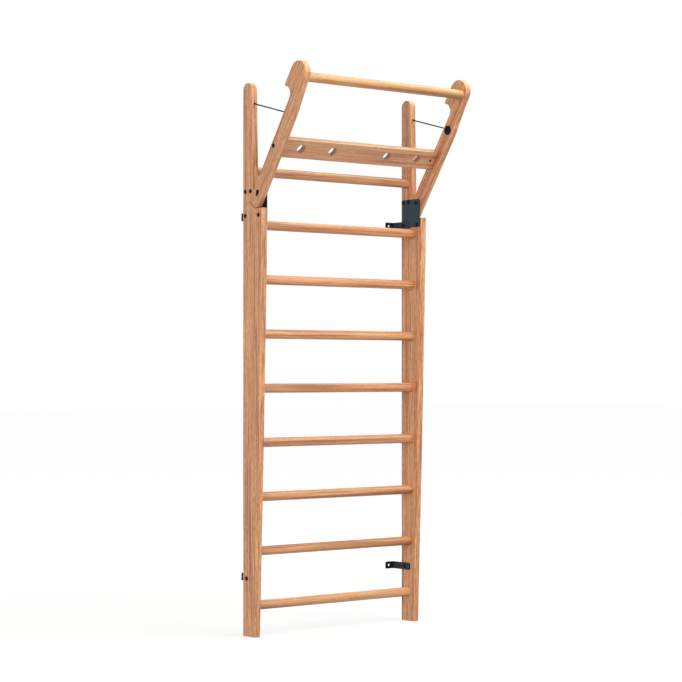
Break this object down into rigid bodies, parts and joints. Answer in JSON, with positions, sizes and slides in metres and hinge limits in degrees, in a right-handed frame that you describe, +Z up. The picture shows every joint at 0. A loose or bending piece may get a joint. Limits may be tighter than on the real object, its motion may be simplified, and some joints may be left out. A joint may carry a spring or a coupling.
{
  "type": "swedish wall bars",
  "caption": "Wooden wall bars: round rungs between bowed posts on steel wall brackets, with a pull-up frame on top that leans out on stay cables and folds back over the post tops.",
  "frame": {"origin": "on the wall, at floor level under the posts, at the middle of the width", "axes": "+Z up, +Y into the wall so that the front faces -Y, X along the rungs"},
  "size_m": [0.8126, 0.4275, 2.1084],
  "materials": {
    "wood": "clear satin lacquer on a reddish-brown hardwood",
    "coated_steel": "satin dark grey powder coat",
    "black_steel": "blackened steel",
    "cable": "black sheath on a steel cable",
    "black_plastic": "matte black plastic",
    "bush": "black turned nylon"
  },
  "bodies": {
    "wall frame": {"left_post": "wood", "right_post": "wood", "rung_1": "wood", "rung_2": "wood", "rung_3": "wood", "rung_4": "wood", "rung_5": "wood", "rung_6": "wood", "rung_7": "wood", "rung_8": "wood", "rung_9": "wood", "left_hinge_plate": "coated_steel", "right_hinge_plate": "coated_steel", "left_upper_wall_bracket": "coated_steel", "left_lower_wall_bracket": "coated_steel", "right_upper_wall_bracket": "coated_steel", "right_lower_wall_bracket": "coated_steel", "left_plate_rear_screw": "black_steel", "left_plate_middle_screw": "black_steel", "left_plate_front_screw": "black_steel", "left_pivot_screw": "black_steel", "left_upper_bracket_screw": "black_steel", "left_lower_bracket_screw": "black_steel", "right_plate_rear_screw": "black_steel", "right_plate_middle_screw": "black_steel", "right_plate_front_screw": "black_steel", "right_pivot_screw": "black_steel", "right_upper_bracket_screw": "black_steel", "right_lower_bracket_screw": "black_steel", "left_plate_rear_sleeve_nut": "black_steel", "left_plate_middle_sleeve_nut": "black_steel", "left_plate_front_sleeve_nut": "black_steel", "left_pivot_sleeve_nut": "black_steel", "left_upper_bracket_sleeve_nut": "black_steel", "left_lower_bracket_sleeve_nut": "black_steel", "right_plate_rear_sleeve_nut": "black_steel", "right_plate_middle_sleeve_nut": "black_steel", "right_plate_front_sleeve_nut": "black_steel", "right_pivot_sleeve_nut": "black_steel", "right_upper_bracket_sleeve_nut": "black_steel", "right_lower_bracket_sleeve_nut": "black_steel", "left_stay_cable": "cable", "right_stay_cable": "cable", "left_cable_sleeve": "black_steel", "right_cable_sleeve": "black_steel"},
    "pivot bushes": {"left_pivot_bush": "bush", "right_pivot_bush": "bush"},
    "pull-up frame": {"left_arm": "wood", "right_arm": "wood", "pull_up_bar": "wood", "crossboard": "wood", "left_crossboard_bolt": "black_steel", "right_crossboard_bolt": "black_steel", "left_barrel_nut": "black_steel", "right_barrel_nut": "black_steel", "left_cable_cap": "black_plastic", "right_cable_cap": "black_plastic", "left_cable_stop": "black_steel", "right_cable_stop": "black_steel"}
  },
  "joints": [
    {"name": "pull-up frame fold", "type": "hinge", "parent": "wall frame", "child": "pivot bushes", "pos_m": [0, -0.141, 1.65097], "axis": [-1, 0, 0], "range_deg": [0, 35.5], "deforming": ["left_stay_cable", "right_stay_cable"]},
    {"name": "pull-up frame lift", "type": "slide", "parent": "pivot bushes", "child": "pull-up frame", "axis": [0, -0.5621, 0.8271], "range_m": [0, 0.0075], "deforming": ["left_stay_cable", "right_stay_cable"]}
  ],
  "couplings": [
    {"joint": "pull-up frame lift", "follows": "pull-up frame fold", "m_per_rad": 0.0121}
  ]
}
